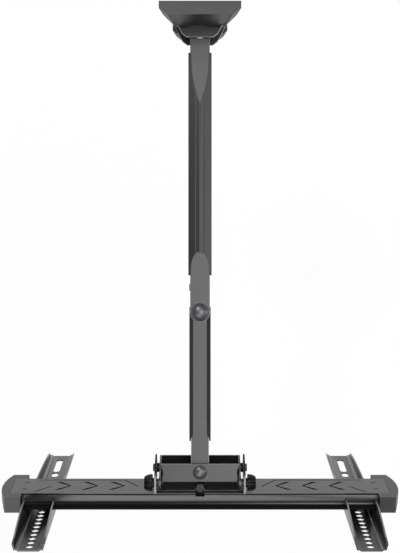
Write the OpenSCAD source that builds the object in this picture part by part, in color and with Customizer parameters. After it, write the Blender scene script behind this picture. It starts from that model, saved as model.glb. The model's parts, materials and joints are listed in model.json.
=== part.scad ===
/* [Wall side] */
// Width of the wall cover at its top
cover_w = 131; // [110:1:160]
// Width of the wall cover at its bottom
cover_low_w = 84; // [80:1:105]
// Height of the cover's top above the arms' centre
cover_top = 128; // [115:1:160]
// Depth of the cover's bottom below the arms' centre
cover_low = 85; // [75:1:120]
// Depth of the wall cover from the wall
cover_d = 21.4; // [18:0.2:24]
// Wall thickness of the plastic covers
cover_t = 2.4; // [1.6:0.1:3]
// Distance between the two lag holes
lag_pitch = 160; // [140:1:176]
// Radius of a lag hole
lag_r = 4.5; // [3.5:0.25:5.5]
// Thickness of the wall plate
plate_t = 3; // [2:0.5:4]
// Distance of the wall pivot from the wall
pivot_d = 28; // [26:0.5:32]

/* [Arms] */
// Pivot to pivot length of the first arm
arm1_len = 469; // [380:1:560]
// Pivot to pivot length of the second arm
arm2_len = 268; // [220:1:340]
// Width of the first arm's tube
arm1_w = 33; // [30:0.5:36]
// Height of the first arm's tube
arm1_h = 54; // [50:1:60]
// Thickness of the first arm's top and bottom wall
arm1_t = 4; // [3:0.5:5]
// Width of the second arm's tube
arm2_w = 30; // [26:0.5:32]
// Wall of both tubes' sides and of the second arm
tube_t = 2.5; // [2:0.25:3]
// Outer width of the first arm's sleeve
sleeve_w = 39; // [37.5:0.5:42]
// Rise of the sleeve's ridge over its edges
ridge_h = 5.5; // [3:0.5:8]
// Start of the sleeve, measured from the wall pivot
sleeve_start = 35; // [33:1:60]
// Gap between the sleeve's end and the elbow pivot
sleeve_end_gap = 62; // [56:1:90]
// Length of the pointed cut in the sleeve
v_len = 87; // [60:1:110]
// Length of the round cut in the sleeve
arch_len = 40; // [34:1:60]
// Outer width of the second arm's covers
side_cover_w = 35.8; // [34:0.2:38]
// Half-width of the strip left open between the side covers
open_strip = 7.5; // [6:0.5:9]

/* [Hinges] */
// Radius of the hinge pins
pin_r = 6; // [5:0.5:6.5]
// Outer radius of a bush's sleeve
bush_r = 8; // [7.5:0.5:9]
// Diameter of the elbow's domed cap
elbow_cap_w = 30; // [27:1:32]
// Diameter of the head's domed cap
head_cap_w = 24; // [23:1:26]

/* [Head and tilt] */
// Length of the head channel between its tilt plates
head_w = 131; // [120:1:150]
// Thickness of the folded steel of head, bracket and rails
sheet_t = 3; // [2.5:0.25:3.5]
// Tilt of the television side at rest, in degrees
tilt_rest = 10.5; // [6:0.5:12]
// Gap between tilt plates and ears, filled by spacers
ear_gap = 4.5; // [4:0.1:6]
// Distance from the lower bolts to the tilt axis
knob_reach = 48.4; // [47:0.2:50]
// Outer radius of a clamp knob
knob_r = 14.2; // [12:0.2:14.5]
// Thickness of a clamp knob
knob_t = 17; // [14:0.5:20]

/* [Television side] */
// Length of the bar's sheet
bar_l = 634; // [600:1:700]
// Height of the bar's web
bar_h = 68; // [64:1:72]
// Depth of the bar from its web to the front of its lips
bar_d = 22.5; // [20:0.5:24]
// Rise of each lip beyond the web's edge
lip_h = 16; // [14:1:20]
// Thickness of the bar's sheet
bar_t = 2.5; // [2:0.25:3]
// Distance of the outermost chevron's tip from the middle
chevron_x = 217.5; // [210:0.5:225]
// Pitch of the chevrons
chevron_pitch = 45.3; // [40:0.5:50]
// How far an end cap stands out beyond the bar
cap_over = 17.5; // [8:0.5:30]
// How far an end cap reaches over the bar
cap_grip = 20; // [14:0.5:30]
// Gap between a rail and the end cap beside it
rail_play = 3; // [1:0.5:120]
// Length of a rail
rail_l = 435; // [420:1:460]
// Width of a rail's base
rail_base_w = 33.4; // [30:0.2:36]
// Width of a rail across its flanges' edges
rail_w = 52; // [48:0.5:54]
// Distance of a rail's base face from the bar's rear face
rail_d = 45; // [42:0.5:50]
// Pitch of the rail's round holes
hole_pitch = 15.7; // [14:0.1:16]
// Radius of the rail's round holes and half the width of its slots
hole_r = 6; // [4.25:0.25:6.5]

/* [Hidden] */
$fn = 64;

run_gap = 0.05;   // radial clearance of a turning fit
seat_gap = 0.02;  // radial clearance of a fixed fit
fit_gap = 0.3;    // gap between faces that don't touch
over = 1;         // how far a cut runs past a face

// Places along Y of the three upright pivots, and levels of the arms
elbow_y = -pivot_d - arm1_len;
head_y = elbow_y - arm2_len;
arm1_top = arm1_h / 2;
clevis_z = arm1_top - arm1_t;
washer_t = 2.2;
arm2_top = clevis_z - washer_t - fit_gap;
cover2_t = 1.7;
bracket_in = arm1_top + 4.5;
bracket_out = bracket_in + 4;
barrel_r = 11;
head_barrel_r = 11.4;

// Head channel: its rear edge behind the pivot and its web in front of it
head_rear = 14;
head_low_rear = 21;
web_front = 15.2;
web_back = web_front - sheet_t;
head_in = clevis_z;
head_out = head_in + 4;
lug_x = head_w / 2;
lug_out = lug_x + sheet_t;
ear_x = lug_out + ear_gap;
ear_out = ear_x + sheet_t;

// Lower bolts of the head, in world places, and the tilt axis above them: the knobs clamp on it.
// The axis is given beside the upright bar, and again in the head's own directions.
bolt_y = head_y + 2;
bolt_z = -12;
stud_r = 4;
limit_r = 3;
axis_lean = 11.3;
axis_y = -knob_reach * sin(axis_lean);
axis_z = knob_reach * cos(axis_lean);
head_axis_y = -knob_reach * sin(axis_lean + tilt_rest);
head_axis_z = knob_reach * cos(axis_lean + tilt_rest);
// The limit slots reach this far to either side of the rest pose, in degrees
slot_back = 15.5;
slot_on = 3.5;

// Television side, measured from the lower bolts with the bar upright
bar_y = -26;
bar_z = 18.5;
lip_top = bar_z + bar_h / 2 + lip_h;
lip_low = bar_z - bar_h / 2 - lip_h;
rail_top = bar_z + 165;
rail_low = rail_top - rail_l;
bar_end = bar_l / 2;
cap_end = bar_end + cap_over;
cap_inner = bar_end - cap_grip;
rail_x = cap_inner - rail_play - rail_w / 2;
tab_z = [45, 48]; // top screw's tab on the tilt bracket
cap_h = bar_h + 2 * lip_h + 5;
cap_d = 27;
bolt_r = 5;

// Basic shapes
module span(x, y, z) {
    translate([x[0], y[0], z[0]]) cube([x[1] - x[0], y[1] - y[0], z[1] - z[0]]);
}

module upright(r, z) {
    translate([0, 0, z[0]]) cylinder(r = r, h = z[1] - z[0]);
}

module level_rod(r, x) {
    translate([x[0], 0, 0]) rotate([0, 90, 0]) cylinder(r = r, h = x[1] - x[0]);
}

// A side view drawn as (y, z) and given the width x[0] to x[1]
module side_plate(x) {
    translate([x[0], 0, 0]) rotate([90, 0, 90]) linear_extrude(x[1] - x[0]) children();
}

// A front view drawn as (x, z) and given the depth y[0] to y[1]
module front_plate(y) {
    translate([0, y[1], 0]) rotate([90, 0, 0]) linear_extrude(y[1] - y[0]) children();
}

module both_sides() {
    children();
    mirror([1, 0, 0]) children();
}

module above_below() {
    children();
    mirror([0, 0, 1]) children();
}

module hex(across, h) {
    cylinder(r = across / sqrt(3), h = h, $fn = 6);
}

module dome(w, h) {
    ball_r = (w * w / 4 + h * h) / (2 * h);
    intersection() {
        translate([0, 0, h - ball_r]) sphere(r = ball_r, $fn = 96);
        cylinder(r = w, h = h + over);
    }
}

module rounded_box(w, h, r) {
    for (x = [-1, 1], y = [-1, 1]) translate([x * (w / 2 - r), y * (h / 2 - r)]) circle(r = r);
    square([w - 2 * r, h], center = true);
    square([w, h - 2 * r], center = true);
}

module at_wall_pivot() { translate([0, -pivot_d, 0]) children(); }
module at_elbow() { translate([0, elbow_y, 0]) children(); }
module at_head() { translate([0, head_y, 0]) children(); }
module at_bolts() { translate([0, bolt_y, bolt_z]) children(); }
module tilted() { at_bolts() rotate([tilt_rest, 0, 0]) children(); }
module at_tilt_axis() { at_bolts() translate([0, head_axis_y, head_axis_z]) children(); }

// Wall side
function cover_half(z) = (cover_low_w + (cover_w - cover_low_w) * (z + cover_low) / (cover_top + cover_low)) / 2;

module shield(inset, z) {
    polygon([
        [-cover_half(z[0]) + inset, z[0]],
        [cover_half(z[0]) - inset, z[0]],
        [cover_half(z[1]) - inset, z[1]],
        [-cover_half(z[1]) + inset, z[1]]
    ]);
}

// Shield with bevelled sides: full width at the wall, narrower at the front
module bevelled_shield(inset, z, depth) {
    bevel = 13;
    hull() {
        front_plate([-depth + 10, 0]) shield(inset, z);
        front_plate([-depth, -depth + 0.01]) shield(inset + bevel, z);
    }
}

module wall_plate() color("#1b1c1e") difference() {
    plate_z = [-cover_low + 4, cover_top - 4];
    front_plate([-plate_t, 0]) shield(cover_t + 1, plate_z);
    for (z = [-1, 1]) translate([0, over, 20 + z * lag_pitch / 2])
        rotate([90, 0, 0]) cylinder(r = lag_r, h = plate_t + 2 * over);
    both_sides() translate([36, over, 86]) rotate([90, 0, 0]) cylinder(r = lag_r, h = plate_t + 2 * over);
}

module bracket_outline() {
    root = 46;
    front = 22;
    nose_r = 10;
    polygon([[-root, -plate_t], [root, -plate_t], [front + 8, -pivot_d - nose_r + 6],
        [front, -pivot_d - nose_r], [-front, -pivot_d - nose_r], [-front - 8, -pivot_d - nose_r + 6]]);
}

module pivot_bracket() color("#141517") difference() {
    union() {
        span([-46, 46], [-plate_t - 3, -plate_t], [-bracket_out, bracket_out]);
        above_below() translate([0, 0, bracket_in])
            linear_extrude(bracket_out - bracket_in) bracket_outline();
    }
    at_wall_pivot() upright(pin_r + seat_gap, [-bracket_out - over, bracket_out + over]);
}

// The lower edge of the top cover hangs in a smile-shaped curve over the pivot
module smile(z, r) {
    translate([0, z + r]) circle(r = r, $fn = 128);
    translate([-cover_w, z + r]) square([2 * cover_w, cover_top]);
}

module top_cover() color("#2c2d30") difference() {
    low = bracket_out + 0.8;
    smile_r = 62;
    intersection() {
        bevelled_shield(0, [low, cover_top], cover_d);
        front_plate([-cover_d, 0]) smile(low, smile_r);
    }
    difference() {
        translate([0, over, 0])
            bevelled_shield(cover_t, [low - over, cover_top - cover_t], cover_d - cover_t + over);
        front_plate([-cover_d, -plate_t - 1]) difference() {
            smile(low - over, smile_r);
            smile(low + cover_t, smile_r);
        }
    }
    // The front face above the curve lies a little deeper, which leaves a rim
    front_plate([-cover_d - over, -cover_d + 0.8]) intersection() {
        smile(low + 3, smile_r - 1);
        shield(cover_t + 13, [low, cover_top - 3]);
    }
}

module bottom_cover() color("#222326") difference() {
    high = -bracket_out - 0.8;
    bevelled_shield(0, [-cover_low, high], cover_d);
    translate([0, over, 0])
        bevelled_shield(cover_t, [-cover_low + cover_t, high + over], cover_d - cover_t + over);
    both_sides() translate([cover_low_w / 2 - 8, 0, -cover_low])
        rotate([0, 45, 0]) span([-9, 9], [-cover_d - over, over], [-14, -5.6]);
}

// Riveted pin: both ends are upset over the bracket
module wall_pin() color("#3a3b3e") at_wall_pivot() {
    upright(pin_r, [-bracket_out, bracket_out]);
    above_below() upright(pin_r + 0.6, [bracket_out, bracket_out + 0.6]);
}

// Flanged bush: a sleeve in the barrel and a washer on its end
module bush(barrel_top, len, flange_r) {
    difference() {
        union() {
            upright(bush_r, [barrel_top - len, barrel_top + 0.01]);
            upright(flange_r, [barrel_top, barrel_top + washer_t]);
        }
        upright(pin_r + run_gap, [barrel_top - len - over, barrel_top + washer_t + over]);
    }
}

wall_barrel = bracket_in - washer_t - fit_gap / 2;

module wall_bushes() color("#d8d8d4") at_wall_pivot() above_below() bush(wall_barrel, 16, barrel_r);

// First arm
module tube_walls(w, h, wall, top, y) {
    difference() {
        span([-w / 2, w / 2], y, [-h / 2, h / 2]);
        span([-w / 2 + wall, w / 2 - wall], [y[0] - over, y[1] + over], [-h / 2 + top, h / 2 - top]);
    }
}

module arm1_tube() color("#2b2c2f") difference() {
    side_cut = 36;
    union() {
        // Walls of the tube, rounded around both pivots
        tube_walls(arm1_w, arm1_h, tube_t, arm1_t, [elbow_y + side_cut, -pivot_d - 10]);
        above_below() translate([0, 0, clevis_z]) linear_extrude(arm1_t) {
            translate([0, -pivot_d]) circle(r = arm1_w / 2);
            translate([0, elbow_y]) circle(r = arm1_w / 2);
            translate([-arm1_w / 2, elbow_y]) square([arm1_w, arm1_len]);
        }
        at_wall_pivot() upright(barrel_r, [-wall_barrel, wall_barrel]);
    }
    at_wall_pivot() upright(bush_r + seat_gap, [-bracket_in, bracket_in]);
    at_elbow() upright(pin_r + seat_gap, [-arm1_top - over, arm1_top + over]);
}

// Pointed cut: two arcs that meet in a tip, drawn along +X from its open end
module pointed_cut(len, half, bulge) {
    chord = norm([len, half]);
    r = (chord * chord / 4 + bulge * bulge) / (2 * bulge);
    away = r - bulge;
    cx = len / 2 - away * half / chord;
    cy = half / 2 - away * len / chord;
    intersection() {
        translate([cx, cy]) circle(r = r, $fn = 360);
        translate([cx, -cy]) circle(r = r, $fn = 360);
        translate([-over, -half]) square([len + over, 2 * half]);
    }
    translate([-over, -half]) square([over + 0.01, 2 * half]);
}

// Round cut: half an ellipse and a straight mouth, drawn along +X from its open end
module arch_cut(len, half) {
    bow = len * 0.75;
    polygon(concat([[-over, -half]],
        [for (a = [-90 : 6 : 90]) [len - bow + bow * cos(a), half * sin(a)]],
        [[-over, half]]));
}

module sleeve_section() {
    edge = arm1_top + 1.5;
    inner = arm1_w / 2 + 0.4;
    difference() {
        polygon([[-sleeve_w / 2, fit_gap / 2], [-sleeve_w / 2, edge], [-1.4, edge + ridge_h],
            [1.4, edge + ridge_h], [sleeve_w / 2, edge], [sleeve_w / 2, fit_gap / 2]]);
        translate([-inner, -over]) square([2 * inner, arm1_top + 0.3 + over]);
        // Grooves beside the ridge
        for (x = [-1, 1]) translate([x * 7.2 - 1, edge + ridge_h * (1 - 7.2 * 2 / sleeve_w) - 0.9])
            square([2, 4]);
        translate([-0.35, edge + ridge_h - 0.7]) square([0.7, over]);
    }
}

module sleeve_half() {
    start = -pivot_d - sleeve_start;
    finish = elbow_y + sleeve_end_gap;
    difference() {
        translate([0, start, 0]) rotate([90, 0, 0]) linear_extrude(start - finish) sleeve_section();
        translate([0, start, arm1_top - 1]) rotate([0, 0, -90])
            linear_extrude(20) pointed_cut(v_len, 15, 4.2);
        translate([0, finish, arm1_top - 1]) rotate([0, 0, 90])
            linear_extrude(20) arch_cut(arch_len, 15.6);
    }
}

module sleeve_upper() color("#202124") sleeve_half();
module sleeve_lower() color("#202124") mirror([0, 0, 1]) sleeve_half();

module side_screw() color("#111214") translate([0, elbow_y + 42, 8]) {
    level_rod(6, [-arm1_w / 2 - 1.6, -arm1_w / 2]);
    level_rod(2.5, [-arm1_w / 2 - 0.01, -arm1_w / 2 + 1.5]);
}

module elbow_pin() color("#3a3b3e") at_elbow() {
    upright(pin_r, [-arm1_top - 8, arm1_top + 0.01]);
    upright(10, [arm1_top, arm1_top + 3]);
}

module elbow_nut() color("#2a2b2d") at_elbow() difference() {
    translate([0, 0, -arm1_top - 7]) hex(19, 7);
    upright(pin_r + seat_gap, [-arm1_top - 8, -arm1_top + over]);
}

// Domed cap, hollow over the head of its pin
module pin_cap(w, h, head_r, head_h) {
    difference() {
        dome(w, h);
        upright(head_r + 0.2, [-over, head_h + 0.2]);
    }
}

module elbow_cap() color("#2f3033") at_elbow() translate([0, 0, arm1_top]) pin_cap(elbow_cap_w, 8, 10, 3);

// Second arm
module elbow_bushes() color("#d8d8d4") at_elbow() above_below() bush(arm2_top, 14, barrel_r);

module arm2_tube() color("#2b2c2f") difference() {
    union() {
        difference() {
            union() {
                span([-arm2_w / 2, arm2_w / 2], [head_y + 6, elbow_y], [-arm2_top, arm2_top]);
                at_elbow() upright(arm2_w / 2, [-arm2_top, arm2_top]);
            }
            span([-arm2_w / 2 + tube_t, arm2_w / 2 - tube_t], [head_y + 6 - over, elbow_y + 8],
                [-arm2_top + tube_t, arm2_top - tube_t]);
        }
        at_elbow() upright(barrel_r, [-arm2_top, arm2_top]);
        at_head() upright(head_barrel_r, [-arm2_top, arm2_top]);
    }
    at_elbow() upright(bush_r + seat_gap, [-bracket_in, bracket_in]);
    at_head() upright(bush_r + seat_gap, [-bracket_in, bracket_in]);
}

// Side cover: a C around one side of the tube, with a rib along its lip and a bevelled end
module side_cover() {
    inner = arm2_w / 2 + 0.4;
    lip_in = arm2_top + 0.3;
    lip_out = lip_in + cover2_t;
    outer = side_cover_w / 2;
    start = elbow_y + 8;
    finish = head_y + 52;
    flare = 12;
    difference() {
        translate([0, start, 0]) rotate([90, 0, 0]) linear_extrude(start - finish) difference() {
            polygon([[open_strip, -lip_out], [outer - 1.5, -lip_out], [outer, -lip_out + 1.5],
                [outer, lip_out - 1.5], [outer - 1.5, lip_out], [open_strip, lip_out]]);
            translate([-over, -lip_in]) square([inner + over, 2 * lip_in]);
            above_groove(outer - 5.4, lip_out);
            mirror([0, 1]) above_groove(outer - 5.4, lip_out);
        }
        // Flared ends of the open strip, and the clearance around the elbow's dome
        translate([0, finish, -bracket_in]) linear_extrude(2 * bracket_in)
            polygon([[0, -over], [inner, -over], [inner, 5], [open_strip, flare], [0, flare]]);
        at_elbow() upright(arm1_w / 2 + 0.6, [-bracket_in, bracket_in]);
    }
}

module above_groove(x, top) {
    translate([x, top - 0.7]) square([1.6, 2]);
}

module arm2_cover_left() color("#202124") mirror([1, 0, 0]) side_cover();
module arm2_cover_right() color("#202124") side_cover();
module head_bushes() color("#d8d8d4") at_head() above_below() bush(arm2_top, 14, barrel_r);

// Head
// Tilt plate on each end of the channel: it carries the stud above and the limit bolt below
module lug_outline() {
    r = 11;
    difference() {
        union() {
            circle(r = r - 1);
            translate([head_axis_y, head_axis_z]) circle(r = r);
            polygon([[-web_front - 2, -15], [-web_front - 2, 30], [head_axis_y - r + 1, head_axis_z - 4],
                [head_axis_y + 6, head_axis_z + 9], [head_axis_y + r, head_axis_z], [9, 14],
                [head_low_rear - 2, -6], [head_low_rear - 2, -15]]);
        }
        circle(r = limit_r + seat_gap);
        translate([head_axis_y, head_axis_z]) circle(r = stud_r + seat_gap);
    }
}

module head_channel() color("#2b2c2f") difference() {
    union() {
        span([-lug_x, lug_x], [head_y - web_front, head_y - web_back], [-head_out, head_out]);
        span([-lug_x, lug_x], [head_y - web_front, head_y + head_rear], [head_in, head_out]);
        span([-lug_x, lug_x], [head_y - web_front, head_y + head_low_rear], [-head_out, -head_in]);
        both_sides() at_bolts() side_plate([lug_x, lug_out]) lug_outline();
    }
    at_head() upright(pin_r + seat_gap, [-head_out - over, head_out + over]);
    // Shallow arc cut into each end of the upper flange
    arc_r = 26;
    arc_depth = 3.6;
    both_sides() translate([lug_x - arc_depth + arc_r, head_y - 1, 0]) difference() {
        upright(arc_r, [head_in - over, head_out + over]);
        span([arc_depth - arc_r, arc_r + over], [-arc_r - over, -web_front + 1 + sheet_t], [head_in - 2, head_out + 2]);
    }
}

module head_pin() color("#3a3b3e") at_head() {
    upright(pin_r, [-head_out - 7, head_out + 0.01]);
    upright(8, [head_out, head_out + 2]);
}

module head_nut() color("#2a2b2d") at_head() difference() {
    translate([0, 0, -head_out - 6]) hex(19, 6);
    upright(pin_r + seat_gap, [-head_out - 7, -head_out + over]);
}

module head_cap() color("#3a3b3e") at_head() translate([0, 0, head_out]) pin_cap(head_cap_w, 6, 8, 2);

// Tilt
module limit_bolts() color("#17181a") both_sides() at_bolts() {
    level_rod(limit_r, [lug_x - 5.5, ear_out + fit_gap + 0.01]);
    level_rod(6.5, [ear_out + fit_gap, ear_out + fit_gap + 3.7]);
}

module limit_nuts() color("#17181a") both_sides() at_bolts() difference() {
    translate([lug_x - 4.2, 0, 0]) rotate([0, 90, 0]) hex(10, 4.2);
    level_rod(limit_r + seat_gap, [lug_x - 6, lug_x + over]);
}

module spacers() color("#111214") both_sides() at_bolts() {
    difference() {
        level_rod(8, [lug_out, ear_x - fit_gap]);
        level_rod(limit_r + seat_gap, [lug_out - over, ear_x + over]);
    }
    translate([0, head_axis_y, head_axis_z]) difference() {
        level_rod(6.5, [lug_out, ear_x - fit_gap]);
        level_rod(stud_r + seat_gap, [lug_out - over, ear_x + over]);
    }
}

// Slot around the tilt axis in which the limit bolt runs, with round ends
module limit_slot() {
    half = limit_r + 0.4;
    low = axis_lean - slot_on;
    high = axis_lean + slot_back;
    step = (high - low) / 8;
    polygon(concat(
        [for (a = [low : step : high + 0.1]) (knob_reach + half) * [sin(a), -cos(a)]],
        [for (t = [20 : 20 : 160]) knob_reach * [sin(high), -cos(high)]
            + half * [cos(high - 90 + t), sin(high - 90 + t)]],
        [for (a = [high : -step : low - 0.1]) (knob_reach - half) * [sin(a), -cos(a)]],
        [for (t = [20 : 20 : 160]) knob_reach * [sin(low), -cos(low)]
            + half * [cos(low + 90 + t), sin(low + 90 + t)]]));
}

// Ear of the tilt bracket: a fan around the tilt axis, with the limit slot near its edge
module ear_outline() {
    r = 5;
    fan_r = knob_reach + limit_r + 6;
    top = axis_z + stud_r + 5;
    front = bar_y + fit_gap;
    difference() {
        polygon(concat([[front, -3], [front, top]],
            [for (a = [90 : -15 : 0]) [9 - r + r * cos(a), top - r + r * sin(a)]],
            [for (a = [36 : -3 : -15]) [axis_y + fan_r * sin(a), axis_z - fan_r * cos(a)]]));
        translate([axis_y, axis_z]) {
            circle(r = stud_r + run_gap);
            limit_slot();
        }
    }
}

module tilt_bracket() color("#1b1c1e") tilted() difference() {
    web = [bar_y + fit_gap, bar_y + fit_gap + sheet_t];
    union() {
        both_sides() side_plate([ear_x, ear_out]) ear_outline();
        span([-ear_out, ear_out], web, [-3, tab_z[1]]);
        // Small pointed tab that carries the top screw
        translate([0, 0, tab_z[0]]) linear_extrude(tab_z[1] - tab_z[0])
            polygon([[-9, web[0]], [9, web[0]], [4, web[1] + 9], [-4, web[1] + 9]]);
    }
    translate([0, bar_y, bar_z]) rotate([-90, 0, 0]) cylinder(r = bolt_r + run_gap, h = 9);
    translate([0, web[1] + 4, 0]) upright(3 + seat_gap, [tab_z[0] - over, tab_z[1] + over]);
}

module top_screw() color("#8d8f92") tilted() translate([0, bar_y + fit_gap + sheet_t + 4, 0]) {
    upright(3, [tab_z[0] - 1.5, tab_z[1] + 0.01]);
    translate([0, 0, tab_z[1]]) hex(10, 4);
}

// Clamp studs on the tilt axis, held in the tilt plates and turning in the ears
module clamp_studs() color("#3a3b3e") both_sides() at_tilt_axis() {
    level_rod(stud_r, [lug_x - 0.6, ear_out + knob_t - 2]);
    level_rod(5.5, [lug_x - 3, lug_x]);
}

// Scalloped hand knob with a round hub
module knob_shape() {
    lobes = 8;
    difference() {
        union() {
            level_rod(knob_r, [ear_out + 3, ear_out + knob_t]);
            level_rod(8, [ear_out + fit_gap, ear_out + 4]);
        }
        for (i = [0 : lobes - 1]) rotate([i * 360 / lobes, 0, 0])
            translate([0, 0, knob_r + 1.4]) level_rod(4, [ear_out + 2, ear_out + knob_t + over]);
        level_rod(stud_r + run_gap, [ear_out - over, ear_out + knob_t - 1.5]);
        level_rod(7.5, [ear_out + knob_t - 1, ear_out + knob_t + over]);
    }
}

module knob_right() color("#101113") at_tilt_axis() knob_shape();
module knob_left() color("#101113") mirror([1, 0, 0]) knob_right();

// Centre bolt on which the bar is levelled
module level_bolt() color("#3a3b3e") tilted() translate([0, 0, bar_z]) rotate([90, 0, 0]) {
    back = -bar_y - fit_gap - sheet_t;
    translate([0, 0, back - 1.6]) cylinder(r = 9, h = 1.6);
    translate([0, 0, back - 0.01]) cylinder(r = bolt_r, h = 16);
}

module level_nut() color("#3a3b3e") tilted() translate([0, bar_y - bar_t, bar_z]) rotate([90, 0, 0])
    difference() {
        hex(17, 7);
        translate([0, 0, -over]) cylinder(r = bolt_r + seat_gap, h = 9);
    }

// Bar: hat section, its web toward the wall and a lip above and below toward the television
module bar_section() {
    h = bar_h / 2;
    lip = h + lip_h;
    back = bar_y;
    front = bar_y - bar_d;
    t = bar_t;
    polygon([[back, -h], [back, h], [front + t, h], [front + t, lip], [front, lip], [front, h - t],
        [back - t, h - t], [back - t, -h + t], [front, -h + t], [front, -lip], [front + t, -lip],
        [front + t, -h]]);
}

// A cut line from one point to another, as wide as w, with round ends
module stroke(a, b, w) {
    d = b - a;
    translate(a) rotate(atan2(d[1], d[0])) {
        translate([0, -w / 2]) square([norm(d), w]);
        circle(r = w / 2);
        translate([norm(d), 0]) circle(r = w / 2);
    }
}

// Chevron with its tip at the origin: each arm widens toward its outer end
module chevron() {
    run = 28;
    rise = 18;
    polygon([[0, 0], [-run + 9, rise], [-run, rise], [-4, 0], [-run, -rise], [-run + 9, -rise]]);
}

module web_cuts() {
    for (i = [0 : 2]) translate([-chevron_x + i * chevron_pitch, 0]) chevron();
    stroke([41 - bar_end, 26.5], [64.5 - bar_end, 3], 2.4);
    stroke([40 - bar_end, -27], [-129, -27], 2.2);
    stroke([-129, -27], [-104.5, 3], 2.2);
    for (z = [-14.4, 14.4]) translate([21.5 - bar_end, z]) square([8.4, 2.4], center = true);
}

module bar() color("#34363a") tilted() translate([0, 0, bar_z]) difference() {
    side_plate([-bar_l / 2, bar_l / 2]) bar_section();
    front_plate([bar_y - bar_t - over, bar_y + over]) both_sides() web_cuts();
    // Two fine grooves rolled along the top flange
    for (y = [bar_y - 2, bar_y - 15.7]) span([-bar_l, bar_l], [y - 1, y + 1], [bar_h / 2 - 0.9, bar_h / 2 + over]);
    // Notch for the top screw and hole of the centre bolt
    span([-7.5, 7.5], [bar_y - 6, bar_y + over], [bar_h / 2 - 8, bar_h / 2 + over]);
    translate([0, bar_y + over, 0]) rotate([90, 0, 0]) cylinder(r = bolt_r + seat_gap, h = 6);
}

// End cap: bowed side, chamfered toward the television, closed over the bar's end
module cap_outline() {
    h = cap_h / 2;
    bow = 11;
    bow_r = (h * h + bow * bow) / (2 * bow);
    intersection() {
        translate([cap_inner, -h]) square([cap_end - cap_inner, 2 * h]);
        translate([cap_end - bow_r, 0]) circle(r = bow_r, $fn = 180);
    }
}

module bar_space() {
    g = fit_gap;
    h = bar_h / 2;
    lip_y = bar_y - bar_d;
    difference() {
        union() {
            translate([lip_y - g, -h - g]) square([bar_d + 2 * g + over, 2 * (h + g)]);
            translate([lip_y - g, -h - lip_h - g]) square([bar_t + 2 * g, 2 * (h + lip_h + g)]);
        }
        translate([lip_y - over, -h + bar_t + g]) square([bar_d - bar_t - g + over, 2 * (h - bar_t - g)]);
    }
}

module cap() {
    taper = 10;
    tilted() translate([0, 0, bar_z]) difference() {
        intersection() {
            front_plate([bar_y - cap_d, bar_y]) cap_outline();
            translate([0, 0, -cap_h]) linear_extrude(2 * cap_h) polygon([
                [cap_inner, bar_y], [cap_end, bar_y], [cap_end, bar_y - 4],
                [cap_end - taper, bar_y - cap_d], [cap_inner, bar_y - cap_d]]);
        }
        side_plate([cap_inner - over, bar_end + fit_gap]) bar_space();
        // Hollow inside the bar, behind the closed end
        span([cap_inner - over, bar_end - 6], [bar_y - bar_d - 2, bar_y - bar_t - over],
            [-bar_h / 2 + bar_t + 2.5, bar_h / 2 - bar_t - 2.5]);
    }
}

module cap_right() color("#303236") cap();
module cap_left() color("#303236") mirror([1, 0, 0]) cap();

// Rails
module rail_section() {
    base = rail_base_w / 2;
    band = base + 6.5;
    edge = rail_w / 2;
    knee = rail_d - 12;
    step = 2;
    t = bar_t;
    // Outline in (x, distance from the bar's rear face): the base band stands forward of its side bands
    difference() {
        polygon([[-base, rail_d], [base, rail_d], [base + step, rail_d - step], [band, rail_d - step],
            [edge, knee], [edge, 0], [-edge, 0], [-edge, knee], [-band, rail_d - step],
            [-base - step, rail_d - step]]);
        polygon([[-base + 1, rail_d - t], [base - 1, rail_d - t], [base + step - 1, rail_d - step - t],
            [band - 1.8, rail_d - step - t], [edge - t, knee - 1], [edge - t, -over], [-edge + t, -over],
            [-edge + t, knee - 1], [-band + 1.8, rail_d - step - t], [-base - step + 1, rail_d - step - t]]);
    }
}

// Side view of a rail in (distance from the bar's rear face, height): deep at the hook, shallow at its ends
module rail_profile() {
    seat = bar_d + fit_gap;
    hook_d = 11;
    hook_low = bar_z + bar_h / 2 + 4;
    difference() {
        polygon([[rail_d, rail_low], [rail_d, rail_top], [33, rail_top], [29, rail_top - 18],
            [22.5, rail_top - 42], [16, lip_top + 44], [hook_d + 1.5, lip_top + 26], [hook_d, lip_top + 12],
            [hook_d, hook_low + 1.5], [hook_d + 1.5, hook_low], [seat, hook_low],
            [seat, lip_low - 6], [25, lip_low - 30], [29, lip_low - 80], [35, rail_low + 30], [37.5, rail_low]]);
        // Slot of the hook for the bar's lip
        translate([bar_d - bar_t - fit_gap, hook_low - over])
            square([bar_t + 2 * fit_gap, lip_top + fit_gap - hook_low + over]);
    }
}

module rail_holes() {
    first = bar_z + 9.7;
    for (i = [0 : 9]) translate([0, first + i * hole_pitch]) circle(r = hole_r);
    translate([0, rail_low + 55]) rounded_box(2 * hole_r, 65, hole_r - 0.01);
    translate([0, rail_low + 103]) rounded_box(2 * hole_r, 22, hole_r - 0.01);
}

module rail_shape() {
    difference() {
        intersection() {
            translate([0, bar_y, rail_low]) linear_extrude(rail_l) scale([1, -1]) rail_section();
            translate([0, bar_y, 0]) side_plate([-rail_w, rail_w]) scale([-1, 1]) rail_profile();
        }
        front_plate([bar_y - rail_d - over, bar_y - rail_d + bar_t + over]) rail_holes();
    }
}

// Safety clip below the lower lip, on the rail's base
module clip_shape() {
    base_in = rail_d - bar_t;
    clip_z = [lip_low - 4, lip_low - 1.5];
    translate([0, bar_y, 0]) difference() {
        side_plate([-13, 13]) scale([-1, 1]) {
            translate([14, clip_z[0]]) square([base_in - 14, clip_z[1] - clip_z[0]]);
            translate([14, clip_z[0]]) square([2.5, 13]);
            translate([base_in - 2.5, clip_z[0] - 12]) square([2.5, 12.5]);
        }
        translate([0, -31, 0]) upright(3 + seat_gap, [clip_z[0] - over, clip_z[1] + over]);
    }
}

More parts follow.
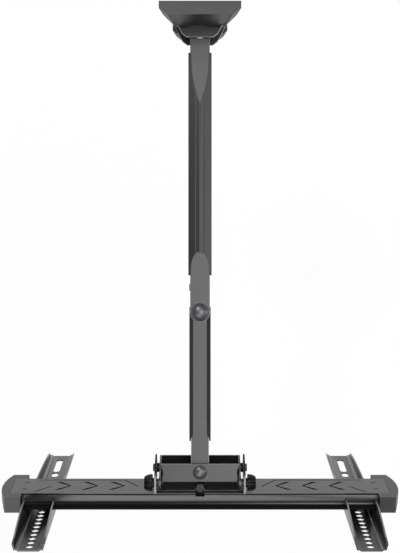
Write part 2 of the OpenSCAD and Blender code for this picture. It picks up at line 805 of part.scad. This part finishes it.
module clip_screw_shape() {
    low = lip_low - 4;
    translate([0, bar_y - 31, 0]) {
        upright(3, [low - 0.01, low + 12]);
        translate([0, 0, low - 4]) upright(5.5, [0, 4]);
    }
}

module at_rail(side) { tilted() translate([side * rail_x, 0, 0]) children(); }

module rail_left() color("#2e3034") at_rail(-1) rail_shape();
module rail_right() color("#2e3034") at_rail(1) rail_shape();
module clip_left() color("#141517") at_rail(-1) clip_shape();
module clip_right() color("#141517") at_rail(1) clip_shape();
module clip_screw_left() color("#3a3b3e") at_rail(-1) clip_screw_shape();
module clip_screw_right() color("#3a3b3e") at_rail(1) clip_screw_shape();

wall_plate();
pivot_bracket();
top_cover();
bottom_cover();
wall_pin();
wall_bushes();
arm1_tube();
sleeve_upper();
sleeve_lower();
side_screw();
elbow_pin();
elbow_nut();
elbow_cap();
elbow_bushes();
arm2_tube();
arm2_cover_left();
arm2_cover_right();
head_bushes();
head_channel();
head_pin();
head_nut();
head_cap();
limit_bolts();
limit_nuts();
spacers();
tilt_bracket();
clamp_studs();
knob_left();
knob_right();
level_bolt();
level_nut();
top_screw();
bar();
cap_left();
cap_right();
rail_left();
rail_right();
clip_left();
clip_right();
clip_screw_left();
clip_screw_right();
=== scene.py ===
import bpy
import bmesh
import json
import math
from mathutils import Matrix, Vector


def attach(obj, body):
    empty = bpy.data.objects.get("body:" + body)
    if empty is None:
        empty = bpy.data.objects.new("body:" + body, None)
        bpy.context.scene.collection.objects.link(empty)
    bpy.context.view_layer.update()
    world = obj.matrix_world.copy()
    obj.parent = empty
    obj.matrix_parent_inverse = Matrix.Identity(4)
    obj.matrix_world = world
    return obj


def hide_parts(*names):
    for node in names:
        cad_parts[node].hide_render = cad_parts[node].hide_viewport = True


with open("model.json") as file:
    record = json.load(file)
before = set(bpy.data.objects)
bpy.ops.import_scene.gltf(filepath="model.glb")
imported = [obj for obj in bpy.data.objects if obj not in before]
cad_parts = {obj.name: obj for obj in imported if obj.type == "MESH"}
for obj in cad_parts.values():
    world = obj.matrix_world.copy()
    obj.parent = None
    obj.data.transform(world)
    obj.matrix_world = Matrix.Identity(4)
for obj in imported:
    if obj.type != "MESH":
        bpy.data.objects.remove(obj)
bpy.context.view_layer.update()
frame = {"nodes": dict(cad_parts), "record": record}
nodes = frame["nodes"]
bodyOf = {n: body for body, members in frame["record"]["behaviour"]["bodies"].items() for n in members}
print("frame loaded:", len(nodes), "nodes")


# camera: straight above the arms, as in the photograph
cameraSetup = {
    "place": (0.0, -0.437, 1.918),
    "lens": 73.56,
    "sensor": 36.0,
    "farClip": 20.0,
}
cameraData = bpy.data.cameras.new("topCamera")
cameraData.lens = cameraSetup["lens"]
cameraData.sensor_width = cameraSetup["sensor"]
cameraData.sensor_fit = "AUTO"
cameraData.clip_end = cameraSetup["farClip"]
camera = bpy.data.objects.new("topCamera", cameraData)
camera.location = cameraSetup["place"]
bpy.context.scene.collection.objects.link(camera)
bpy.context.scene.camera = camera
bpy.context.scene.view_settings.view_transform = "Standard"


# small helpers for node trees
def addNode(tree, kind, place, **values):
    node = tree.nodes.new(kind)
    node.location = place
    for key, value in values.items():
        setattr(node, key, value)
    return node


def setInput(node, **values):
    for key, value in values.items():
        node.inputs[key.replace("_", " ")].default_value = value


def newGroup(name, inputs, outputs):
    group = bpy.data.node_groups.new(name, "ShaderNodeTree")
    for label, value in inputs:
        socket = group.interface.new_socket(name=label, in_out="INPUT", socket_type="NodeSocketFloat")
        socket.default_value = value
    for label, kind in outputs:
        group.interface.new_socket(name=label, in_out="OUTPUT", socket_type=kind)
    start = addNode(group, "NodeGroupInput", (-900, 0))
    end = addNode(group, "NodeGroupOutput", (600, 0))
    return group, start, end


def makePebbleGroup():
    # fine pebbled skin with a slow change of tone and gloss
    group, start, end = newGroup("pebbleSkin",
        [("Grain Scale", 900.0), ("Cloud Scale", 14.0), ("Tone Spread", 0.08), ("Gloss Spread", 0.06),
         ("Roughness", 0.45)],
        [("Height", "NodeSocketFloat"), ("Tone", "NodeSocketFloat"), ("Roughness", "NodeSocketFloat")])
    link = group.links.new
    coords = addNode(group, "ShaderNodeTexCoord", (-900, 300))
    fine = addNode(group, "ShaderNodeTexNoise", (-600, 300))
    setInput(fine, Detail=3.0, Roughness=0.55)
    cell = addNode(group, "ShaderNodeTexVoronoi", (-600, 80), feature="SMOOTH_F1")
    cloud = addNode(group, "ShaderNodeTexNoise", (-600, -160))
    setInput(cloud, Detail=4.0, Roughness=0.6)
    for tex, label in ((fine, "Grain Scale"), (cell, "Grain Scale"), (cloud, "Cloud Scale")):
        link(coords.outputs["Object"], tex.inputs["Vector"])
        link(start.outputs[label], tex.inputs["Scale"])
    mixed = addNode(group, "ShaderNodeMath", (-300, 240), operation="MULTIPLY_ADD")
    mixed.inputs[1].default_value = 0.5
    link(cell.outputs["Distance"], mixed.inputs[0])
    link(fine.outputs["Fac"], mixed.inputs[2])
    link(mixed.outputs[0], end.inputs["Height"])
    centred = addNode(group, "ShaderNodeMath", (-300, -160), operation="SUBTRACT")
    centred.inputs[1].default_value = 0.5
    link(cloud.outputs["Fac"], centred.inputs[0])
    tone = addNode(group, "ShaderNodeMath", (-60, -100), operation="MULTIPLY_ADD")
    link(centred.outputs[0], tone.inputs[0])
    link(start.outputs["Tone Spread"], tone.inputs[1])
    tone.inputs[2].default_value = 1.0
    link(tone.outputs[0], end.inputs["Tone"])
    gloss = addNode(group, "ShaderNodeMath", (-60, -280), operation="MULTIPLY_ADD")
    link(centred.outputs[0], gloss.inputs[0])
    link(start.outputs["Gloss Spread"], gloss.inputs[1])
    link(start.outputs["Roughness"], gloss.inputs[2])
    link(gloss.outputs[0], end.inputs["Roughness"])
    return group


def makeRubbedAndHighlightGroup():
    # mask of rubbed spots, and with a high cover of a painted edge highlight: noise in two sizes, cut off
    # at the given cover
    group, start, end = newGroup("rubbedAndHighlightSpots", [("Spot Scale", 260.0), ("Cover", 0.5), ("Softness", 0.25)],
        [("Mask", "NodeSocketFloat")])
    link = group.links.new
    coords = addNode(group, "ShaderNodeTexCoord", (-900, 200))
    small = addNode(group, "ShaderNodeTexNoise", (-640, 200))
    setInput(small, Detail=4.0, Roughness=0.65)
    large = addNode(group, "ShaderNodeTexNoise", (-640, -80))
    setInput(large, Scale=22.0, Detail=2.0)
    link(coords.outputs["Object"], small.inputs["Vector"])
    link(coords.outputs["Object"], large.inputs["Vector"])
    link(start.outputs["Spot Scale"], small.inputs["Scale"])
    both = addNode(group, "ShaderNodeMath", (-420, 100), operation="ADD")
    link(small.outputs["Fac"], both.inputs[0])
    link(large.outputs["Fac"], both.inputs[1])
    lifted = addNode(group, "ShaderNodeMath", (-240, 100), operation="MULTIPLY_ADD")
    lifted.inputs[1].default_value = 0.5
    link(both.outputs[0], lifted.inputs[0])
    bias = addNode(group, "ShaderNodeMath", (-420, -160), operation="SUBTRACT")
    bias.inputs[1].default_value = 1.0
    link(start.outputs["Cover"], bias.inputs[0])
    link(bias.outputs[0], lifted.inputs[2])
    scaled = addNode(group, "ShaderNodeMath", (-60, 60), operation="DIVIDE", use_clamp=True)
    link(lifted.outputs[0], scaled.inputs[0])
    link(start.outputs["Softness"], scaled.inputs[1])
    link(scaled.outputs[0], end.inputs["Mask"])
    return group


pebbleSkin = makePebbleGroup()
rubbedAndHighlightSpots = makeRubbedAndHighlightGroup()

# every finish: its slot in the record, colour, gloss and how coarse its skin is
# a finish without a slot only covers some faces, or takes the place of a slot's own finish
finishes = {
    "blackSteel": {"slot": "black_steel", "colour": (0.014, 0.0143, 0.015), "wornAndHighlight": (0.34, 0.34, 0.35),
        "roughness": 0.29, "specular": 0.62, "grain": 1500.0, "bump": 0.06, "tone": 0.08, "gloss": 0.05,
        "metal": 0.0},
    "coverPlastic": {"slot": "cover_plastic", "colour": (0.015, 0.015, 0.016), "wornAndHighlight": (0.08, 0.08, 0.083),
        "roughness": 0.38, "specular": 0.50, "grain": 1900.0, "bump": 0.02, "tone": 0.06, "gloss": 0.05,
        "metal": 0.0},
    # a darker, duller copy of the cover plastic: painted shade on the wall covers' slopes; it is also the
    # whole finish of arm 2's covers
    "shieldPlastic": {"slot": None, "colour": (0.013, 0.013, 0.014), "wornAndHighlight": (0.06, 0.06, 0.062),
        "roughness": 0.40, "specular": 0.13, "grain": 1900.0, "bump": 0.08, "tone": 0.06, "gloss": 0.05,
        "metal": 0.0},
    # a darker, duller copy of the black steel: painted shade inside the folded sheet, on the tilt bracket's
    # tab and ears, and along some rounded edges
    "shadedBlack": {"slot": None, "colour": (0.006, 0.006, 0.0065), "wornAndHighlight": (0.02, 0.02, 0.021),
        "roughness": 0.60, "specular": 0.08, "grain": 1500.0, "bump": 0.10, "tone": 0.10, "gloss": 0.05,
        "metal": 0.0},
    # light grey with a strong sheen: painted highlight on the sheet's cut edges
    "sheetEdgeHighlight": {"slot": None, "colour": (0.16, 0.16, 0.165), "wornAndHighlight": (0.45, 0.45, 0.46),
        "roughness": 0.34, "specular": 0.9, "grain": 1500.0, "bump": 0.04, "tone": 0.10, "gloss": 0.05,
        "metal": 0.0},
    "knobPlastic": {"slot": "knob_plastic", "colour": (0.004, 0.004, 0.0045), "wornAndHighlight": (0.02, 0.02, 0.021),
        "roughness": 0.38, "specular": 0.16, "grain": 1500.0, "bump": 0.12, "tone": 0.10, "gloss": 0.08,
        "metal": 0.0},
    "capPlastic": {"slot": "cap_plastic", "colour": (0.045, 0.046, 0.048), "wornAndHighlight": (0.09, 0.09, 0.092),
        "roughness": 0.36, "specular": 0.9, "grain": 1200.0, "bump": 0.03, "tone": 0.06, "gloss": 0.06,
        "metal": 0.0},
    "darkZinc": {"slot": "dark_zinc", "colour": (0.016, 0.016, 0.017), "wornAndHighlight": (0.14, 0.14, 0.145),
        "roughness": 0.34, "specular": 0.25, "grain": 1000.0, "bump": 0.05, "tone": 0.2, "gloss": 0.14,
        "metal": 0.3},
    "nylon": {"slot": "nylon", "colour": (0.60, 0.59, 0.56), "wornAndHighlight": (0.8, 0.79, 0.76),
        "roughness": 0.42, "specular": 0.5, "grain": 900.0, "bump": 0.03, "tone": 0.05, "gloss": 0.06,
        "metal": 0.0},
}
# how much of a surface takes the lighter worn colour: little on faces as rubbed spots, much on rounded
# edges as a painted highlight
rubbedAndHighlight = {
    "faces": 0.36,
    "edges": 0.78,
}
bumpDistance = 0.0004


def makeMaterial(name, look, cover):
    material = bpy.data.materials.new(name)
    material.use_nodes = True
    tree = material.node_tree
    link = tree.links.new
    shader = tree.nodes["Principled BSDF"]
    shader.inputs["Metallic"].default_value = look["metal"]
    shader.inputs["Specular IOR Level"].default_value = look["specular"]
    skin = addNode(tree, "ShaderNodeGroup", (-760, 0), node_tree=pebbleSkin)
    skin.inputs["Grain Scale"].default_value = look["grain"]
    skin.inputs["Tone Spread"].default_value = look["tone"]
    skin.inputs["Gloss Spread"].default_value = look["gloss"]
    skin.inputs["Roughness"].default_value = look["roughness"]
    # the lighter worn colour comes in where the mask is set: rubbed spots on faces, painted highlight on
    # rounded edges
    rubbedAndHighlightMask = addNode(tree, "ShaderNodeGroup", (-760, -260), node_tree=rubbedAndHighlightSpots)
    rubbedAndHighlightMask.inputs["Cover"].default_value = cover
    toned = addNode(tree, "ShaderNodeMix", (-500, 160), data_type="RGBA", blend_type="MULTIPLY")
    toned.inputs["Factor"].default_value = 1.0
    toned.inputs["A"].default_value = (*look["colour"], 1.0)
    link(skin.outputs["Tone"], toned.inputs["B"])
    mixed = addNode(tree, "ShaderNodeMix", (-280, 160), data_type="RGBA")
    link(rubbedAndHighlightMask.outputs["Mask"], mixed.inputs["Factor"])
    link(toned.outputs["Result"], mixed.inputs["A"])
    mixed.inputs["B"].default_value = (*look["wornAndHighlight"], 1.0)
    link(mixed.outputs["Result"], shader.inputs["Base Color"])
    link(skin.outputs["Roughness"], shader.inputs["Roughness"])
    bump = addNode(tree, "ShaderNodeBump", (-280, -200))
    bump.inputs["Strength"].default_value = look["bump"]
    bump.inputs["Distance"].default_value = bumpDistance
    link(skin.outputs["Height"], bump.inputs["Height"])
    link(bump.outputs["Normal"], shader.inputs["Normal"])
    return material


# each node has the finish of its slot, apart from a few that look different in the photograph
slotOf = {part["node"]: part["material_slot"] for part in frame["record"]["subparts"]}
finishOfSlot = {look["slot"]: name for name, look in finishes.items() if look["slot"]}
finishOf = {node: finishOfSlot[slot] for node, slot in slotOf.items()}
finishOf["arm2_cover_left"] = "shieldPlastic"
finishOf["arm2_cover_right"] = "shieldPlastic"
finishOf["wall_pin"] = "blackSteel"

faceMaterial = {name: makeMaterial(name, look, rubbedAndHighlight["faces"]) for name, look in finishes.items()}
edgeHighlightMaterial = {name: makeMaterial(name + "Edge", look, rubbedAndHighlight["edges"])
    for name, look in finishes.items() if name in finishOf.values()}

# faces in painted shade take the shaded black, a darker and duller copy of their finish, apart from those
# of the wall covers, which take the shield plastic
shadedFinish = {
    "top_cover": "shieldPlastic",
    "bottom_cover": "shieldPlastic",
}
# pieces whose rounded edges take the shaded black, painted shade along the edges, and are not rubbed
shadedEdgePieces = ("bar", "cap_left", "cap_right", "sleeve_upper", "sleeve_lower",
    "arm2_cover_left", "arm2_cover_right")
# cut edges of the sheet: narrow strips in a light grey, a painted highlight that shines more than the faces
cutEdgeHighlight = {
    "nodes": ("rail_left", "rail_right", "tilt_bracket", "pivot_bracket"),
    "widest": 0.0032,
    "shortest": 0.0045,
}
print("materials made:", len(faceMaterial) + len(edgeHighlightMaterial))


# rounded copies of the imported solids: folded, pressed and moulded edges catch the light
edgeRounding = {
    "wall_plate": 0.0006, "pivot_bracket": 0.0006, "top_cover": 0.0011, "bottom_cover": 0.0011,
    "arm1_tube": 0.0007, "sleeve_upper": 0.0009, "sleeve_lower": 0.0009,
    "arm2_tube": 0.0007, "arm2_cover_left": 0.0008, "arm2_cover_right": 0.0008,
    "head_channel": 0.0008, "tilt_bracket": 0.0006, "bar": 0.0012, "cap_left": 0.0008, "cap_right": 0.0008,
    "rail_left": 0.0006, "rail_right": 0.0006, "clip_left": 0.0004, "clip_right": 0.0004,
    "knob_left": 0.0007, "knob_right": 0.0007, "side_screw": 0.0004, "limit_bolts": 0.0005,
    "clip_screw_left": 0.0005, "clip_screw_right": 0.0005, "top_screw": 0.0004, "level_bolt": 0.0004,
    "level_nut": 0.0005, "elbow_nut": 0.0005, "head_nut": 0.0005, "spacers": 0.0003, "limit_nuts": 0.0004,
}


# the television side lies in its own frame, tilted about the X axis
tiltSetup = {
    "origin": (0.0, -0.763, -0.012),
    "angle": math.radians(10.5),
}
tiltCos, tiltSin = math.cos(tiltSetup["angle"]), math.sin(tiltSetup["angle"])

# what tells the faces in painted shade: those inside the folded sheet and on the slopes of the wall covers
# the depths and heights of the bar are in the tilted frame, the others are in the shared one
barSetup = {
    "middle": 0.0185,
    "back": -0.026,
    "front": -0.0485,
    "halfHeight": 0.034,
    "squareOn": 0.9,
    "depthPlay": 0.0003,
    "heightPlay": 0.0004,
}
headSetup = {
    "lowerFlange": -0.015,
    "upward": 0.5,
}
bracketSetup = {
    "tabHalfWidth": 0.013,
    "tabUpward": 0.3,
    "earFrom": 0.060,
    "earBehind": -0.764,
}
shieldLevel = 0.97


def intoTilt(y, z):
    return y * tiltCos + z * tiltSin, z * tiltCos - y * tiltSin


def fromTiltFrame(x, y, z):
    return (x, tiltSetup["origin"][1] + y * tiltCos - z * tiltSin,
        tiltSetup["origin"][2] + y * tiltSin + z * tiltCos)


def barIsShaded(centre, normal):
    y, z = intoTilt(centre[1] - tiltSetup["origin"][1], centre[2] - tiltSetup["origin"][2])
    facing, rising = intoTilt(normal[1], normal[2])
    height = abs(z - barSetup["middle"])
    atWeb = facing > barSetup["squareOn"] and y > barSetup["back"] - barSetup["depthPlay"]
    atFlange = (abs(rising) > barSetup["squareOn"]
        and abs(height - barSetup["halfHeight"]) < barSetup["heightPlay"])
    atLip = facing < -barSetup["squareOn"] and y < barSetup["front"] + barSetup["depthPlay"]
    return not (atWeb or atFlange or atLip)


def headIsShaded(centre, normal):
    return centre[2] < headSetup["lowerFlange"] and normal[2] > headSetup["upward"]


def bracketIsShaded(centre, normal):
    onTab = abs(centre[0]) < bracketSetup["tabHalfWidth"] and normal[2] > bracketSetup["tabUpward"]
    onEar = abs(centre[0]) > bracketSetup["earFrom"] and centre[1] > bracketSetup["earBehind"]
    return onTab or onEar


def shieldIsShaded(centre, normal):
    return abs(normal[2]) < shieldLevel


shadedTests = {
    "bar": barIsShaded, "head_channel": headIsShaded, "tilt_bracket": bracketIsShaded,
    "top_cover": shieldIsShaded, "bottom_cover": shieldIsShaded,
}


# the four materials of every piece, in the order in which addPiece gives them
materialPlace = {
    "face": 0,
    # the edge slot holds the rounded edges' lighter colour, a painted highlight
    "edge": 1,
    "shaded": 2,
    # the cut slot holds the painted highlight of the sheet's cut edges
    "cut": 3,
}
shaping = {
    "sharpAngle": 28,
    "domeSharpAngle": 40,
    "bevelSegments": 2,
    "weld": 2e-6,
    "flatAngle": 0.6,
}


def bakeModifiers(piece):
    graph = bpy.context.evaluated_depsgraph_get()
    mesh = bpy.data.meshes.new_from_object(piece.evaluated_get(graph))
    piece.modifiers.clear()
    piece.data = mesh


def finishShading(mesh, angle):
    mesh.shade_smooth()
    mesh.set_sharp_from_angle(angle=math.radians(angle))


def addPiece(name, mesh, node):
    piece = bpy.data.objects.new(name, mesh)
    bpy.context.scene.collection.objects.link(piece)
    mesh.materials.clear()
    mesh.materials.append(faceMaterial[finishOf[node]])
    mesh.materials.append(edgeHighlightMaterial[finishOf[node]])
    mesh.materials.append(faceMaterial[shadedFinish.get(node, "shadedBlack")])
    mesh.materials.append(faceMaterial["sheetEdgeHighlight"])
    return piece


def settlePiece(piece, *replaced):
    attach(piece, bodyOf[replaced[0]])
    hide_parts(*replaced)


# knobs are domed toward their outer end
knobDome = {
    "cuts": (0.3, 0.5, 0.68, 0.82, 0.92),
    "from": 0.3,
    "depth": 0.72,
    "rim": 0.6,
    "cutPlay": 1e-6,
}
jointPlace = {j["name"]: Vector(j.get("pos_m", (0, 0, 0))) for j in frame["record"]["behaviour"]["joints"]}


def domeKnob(shape, side):
    axis = jointPlace["knob_turn_" + side]
    reach = [abs(v.co.x) for v in shape.verts]
    inner, outer = min(reach), max(reach)
    sign = 1 if side == "right" else -1
    for cut in knobDome["cuts"]:
        bmesh.ops.bisect_plane(shape, geom=shape.verts[:] + shape.edges[:] + shape.faces[:],
            dist=knobDome["cutPlay"], plane_co=(sign * (inner + cut * (outer - inner)), 0, 0),
            plane_no=(1, 0, 0))
    spread = max(math.hypot(v.co.y - axis.y, v.co.z - axis.z) for v in shape.verts)
    for v in shape.verts:
        along = (abs(v.co.x) - inner) / (outer - inner)
        radius = math.hypot(v.co.y - axis.y, v.co.z - axis.z)
        if along > knobDome["from"] and radius > knobDome["rim"] * spread:
            share = knobDome["depth"] * (along - knobDome["from"]) / (1 - knobDome["from"])
            narrowed = math.sqrt(1 - share * share)
            v.co.y = axis.y + (v.co.y - axis.y) * narrowed
            v.co.z = axis.z + (v.co.z - axis.z) * narrowed


# arm 2 covers: their lips reach only a little way over the tube
coverLip = {
    "nodes": ("arm2_cover_left", "arm2_cover_right"),
    "reach": 0.0116,
    "weld": 1e-5,
}


def trimLip(shape):
    for v in shape.verts:
        if abs(v.co.x) < coverLip["reach"]:
            v.co.x = math.copysign(coverLip["reach"], v.co.x)
    bmesh.ops.remove_doubles(shape, verts=shape.verts, dist=coverLip["weld"])
    bmesh.ops.dissolve_degenerate(shape, edges=shape.edges, dist=coverLip["weld"])


# pin caps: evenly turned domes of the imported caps' width and height
domeShape = {
    "nodes": ("elbow_cap", "head_cap"),
    "rings": 20,
    "segments": 64,
}


def turnedDome(node):
    rings, count = domeShape["rings"], domeShape["segments"]
    corners = [v.co for v in nodes[node].data.vertices]
    low = [min(c[i] for c in corners) for i in range(3)]
    high = [max(c[i] for c in corners) for i in range(3)]
    radius, height = (high[0] - low[0]) / 2, high[2] - low[2]
    middle = ((high[0] + low[0]) / 2, (high[1] + low[1]) / 2)
    ball = (radius ** 2 + height ** 2) / (2 * height)
    widest = math.asin(min(1.0, radius / ball))
    points = [(*middle, high[2])]
    for ring in range(1, rings + 1):
        slope = widest * ring / rings
        for step in range(count):
            turn = 2 * math.pi * step / count
            points.append((middle[0] + ball * math.sin(slope) * math.cos(turn),
                middle[1] + ball * math.sin(slope) * math.sin(turn),
                high[2] - ball + ball * math.cos(slope)))
    faces = [(0, 1 + step, 1 + (step + 1) % count) for step in range(count)]
    for ring in range(rings - 1):
        upper = 1 + ring * count
        lower = upper + count
        for step in range(count):
            following = (step + 1) % count
            faces.append((upper + step, lower + step, lower + following, upper + following))
    last = 1 + (rings - 1) * count
    faces.append(tuple(last + step for step in reversed(range(count))))
    mesh = bpy.data.meshes.new(node + "Shape")
    mesh.from_pydata(points, [], faces)
    finishShading(mesh, shaping["domeSharpAngle"])
    settlePiece(addPiece(node + "_dressed", mesh, node), node)


def roundedCopy(node, width):
    source = nodes[node]
    shape = bmesh.new()
    shape.from_mesh(source.data)
    bmesh.ops.remove_doubles(shape, verts=shape.verts, dist=shaping["weld"])
    bmesh.ops.dissolve_limit(shape, angle_limit=math.radians(shaping["flatAngle"]),
        verts=shape.verts, edges=shape.edges)
    if node.startswith("knob_"):
        domeKnob(shape, node[len("knob_"):])
    if node in coverLip["nodes"]:
        trimLip(shape)
    mesh = bpy.data.meshes.new(node + "Shape")
    shape.to_mesh(mesh)
    shape.free()
    finishShading(mesh, shaping["sharpAngle"])
    piece = addPiece(node + "_dressed", mesh, node)
    # narrow strips of the cut edges take the light grey of the painted highlight
    if node in cutEdgeHighlight["nodes"]:
        for face in mesh.polygons:
            length = max((mesh.vertices[a].co - mesh.vertices[b].co).length for a, b in face.edge_keys)
            narrow = length > cutEdgeHighlight["shortest"] and face.area / length < cutEdgeHighlight["widest"]
            if narrow and len(face.vertices) == 4:
                face.material_index = materialPlace["cut"]
    # faces that a test picks take the shaded black: painted shade
    if node in shadedTests:
        for face in mesh.polygons:
            if shadedTests[node](face.center, face.normal):
                face.material_index = materialPlace["shaded"]
    bevel = piece.modifiers.new("roundEdges", "BEVEL")
    bevel.width = width
    bevel.segments = shaping["bevelSegments"]
    bevel.limit_method = "ANGLE"
    bevel.angle_limit = math.radians(shaping["sharpAngle"])
    bevel.use_clamp_overlap = True
    bevel.harden_normals = True
    # rounded edges take the lighter edge colour, a painted highlight, or on the shaded-edge pieces the
    # shaded black, painted shade
    bevel.material = materialPlace["shaded" if node in shadedEdgePieces else "edge"]
    bakeModifiers(piece)
    settlePiece(piece, node)


for node, obj in nodes.items():
    obj.data.materials.clear()
    obj.data.materials.append(faceMaterial[finishOf[node]])
    finishShading(obj.data, shaping["sharpAngle"])

for node, width in edgeRounding.items():
    roundedCopy(node, width)
for node in domeShape["nodes"]:
    turnedDome(node)
print("rounded copies made:", len(edgeRounding) + len(domeShape["nodes"]))

# captive nut plate under the bar's notch, where the top screw bears
nutPlate = {
    "halfWidth": 0.0078,
    "back": -0.0287,
    "front": -0.0400,
    "top": 0.0440,
    "bottom": 0.0425,
}


def makeNutPlate():
    half, front, back = nutPlate["halfWidth"], nutPlate["front"], nutPlate["back"]
    outline = ((-half, front), (half, front), (half, back), (-half, back))
    points = [fromTiltFrame(x, y, z) for z in (nutPlate["bottom"], nutPlate["top"]) for x, y in outline]
    faces = [(3, 2, 1, 0), (4, 5, 6, 7), (0, 1, 5, 4), (1, 2, 6, 5), (2, 3, 7, 6), (3, 0, 4, 7)]
    mesh = bpy.data.meshes.new("nutPlateShape")
    mesh.from_pydata(points, [], faces)
    piece = addPiece("nut_plate", mesh, "bar")
    # all its faces take the shaded black: painted shade under the notch
    for face in mesh.polygons:
        face.material_index = materialPlace["shaded"]
    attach(piece, bodyOf["bar"])


makeNutPlate()
print("nut plate made")


# white floor below, which the camera and the reflections see nearly plain
stageSetup = {
    "floorPlace": (0.0, -0.4, -0.62),
    "floorSize": 14.0,
    "floorColour": (0.93, 0.93, 0.93),
    "floorGlow": 0.86,
    "worldStrength": 0.11,
}
# two wide panels, which the flat faces mirror, a low key from the right and a small lamp from the
# upper left for small highlights
lamps = [
    {"name": "softFront", "place": (-0.52, -2.15, 2.1), "aim": (-0.25, -0.8, 0.0),
        "size": (2.1, 0.75), "power": 24.0},
    {"name": "softRight", "place": (0.85, -0.4, 2.6), "aim": (0.85, -0.4, 0.0),
        "size": (2.2, 2.4), "power": 62.0},
    {"name": "keyRight", "place": (2.0, -0.55, 0.75), "aim": (0.0, -0.5, 0.0),
        "size": (0.8, 1.4), "power": 9.0},
    {"name": "sparkLeft", "place": (-0.75, 0.95, 1.7), "aim": (0.0, -0.5, 0.0),
        "size": (0.7, 0.7), "power": 27.0},
]


def makeFloor():
    half = stageSetup["floorSize"] / 2
    corners = [(-half, -half, 0), (half, -half, 0), (half, half, 0), (-half, half, 0)]
    mesh = bpy.data.meshes.new("floor")
    mesh.from_pydata(corners, [], [(0, 1, 2, 3)])
    floor = bpy.data.objects.new("floor", mesh)
    floor.location = stageSetup["floorPlace"]
    bpy.context.scene.collection.objects.link(floor)
    material = bpy.data.materials.new("paleFloor")
    material.use_nodes = True
    tree = material.node_tree
    tree.nodes.clear()
    link = tree.links.new
    output = addNode(tree, "ShaderNodeOutputMaterial", (500, 0))
    diffuse = addNode(tree, "ShaderNodeBsdfDiffuse", (0, 120))
    diffuse.inputs["Color"].default_value = (*stageSetup["floorColour"], 1)
    glow = addNode(tree, "ShaderNodeEmission", (0, -80))
    setInput(glow, Color=(1, 1, 1, 1), Strength=1.0)
    path = addNode(tree, "ShaderNodeLightPath", (-300, 300))
    seen = addNode(tree, "ShaderNodeMath", (-180, 320), operation="MAXIMUM")
    link(path.outputs["Is Camera Ray"], seen.inputs[0])
    link(path.outputs["Is Glossy Ray"], seen.inputs[1])
    share = addNode(tree, "ShaderNodeMath", (-20, 320), operation="MULTIPLY")
    share.inputs[1].default_value = stageSetup["floorGlow"]
    link(seen.outputs[0], share.inputs[0])
    blend = addNode(tree, "ShaderNodeMixShader", (260, 0))
    link(share.outputs[0], blend.inputs["Fac"])
    link(diffuse.outputs[0], blend.inputs[1])
    link(glow.outputs[0], blend.inputs[2])
    link(blend.outputs[0], output.inputs["Surface"])
    mesh.materials.append(material)


def makeWorld():
    world = bpy.data.worlds.new("paleStudio")
    world.use_nodes = True
    bpy.context.scene.world = world
    tree = world.node_tree
    tree.nodes.clear()
    link = tree.links.new
    output = addNode(tree, "ShaderNodeOutputWorld", (500, 0))
    soft = addNode(tree, "ShaderNodeBackground", (0, 100))
    setInput(soft, Color=(1, 1, 1, 1), Strength=stageSetup["worldStrength"])
    seen = addNode(tree, "ShaderNodeBackground", (0, -100))
    setInput(seen, Color=(1, 1, 1, 1), Strength=1.0)
    path = addNode(tree, "ShaderNodeLightPath", (-300, 300))
    blend = addNode(tree, "ShaderNodeMixShader", (260, 0))
    link(path.outputs["Is Camera Ray"], blend.inputs["Fac"])
    link(soft.outputs[0], blend.inputs[1])
    link(seen.outputs[0], blend.inputs[2])
    link(blend.outputs[0], output.inputs["Surface"])


def makeLamp(lamp):
    data = bpy.data.lights.new(lamp["name"], "AREA")
    data.shape = "RECTANGLE"
    data.size, data.size_y = lamp["size"]
    data.energy = lamp["power"]
    light = bpy.data.objects.new(lamp["name"], data)
    light.location = lamp["place"]
    aim = Vector(lamp["aim"]) - Vector(lamp["place"])
    light.rotation_euler = aim.to_track_quat("-Z", "Y").to_euler()
    light.visible_camera = False
    bpy.context.scene.collection.objects.link(light)


makeFloor()
makeWorld()
for lamp in lamps:
    makeLamp(lamp)
print("stage and lights set")
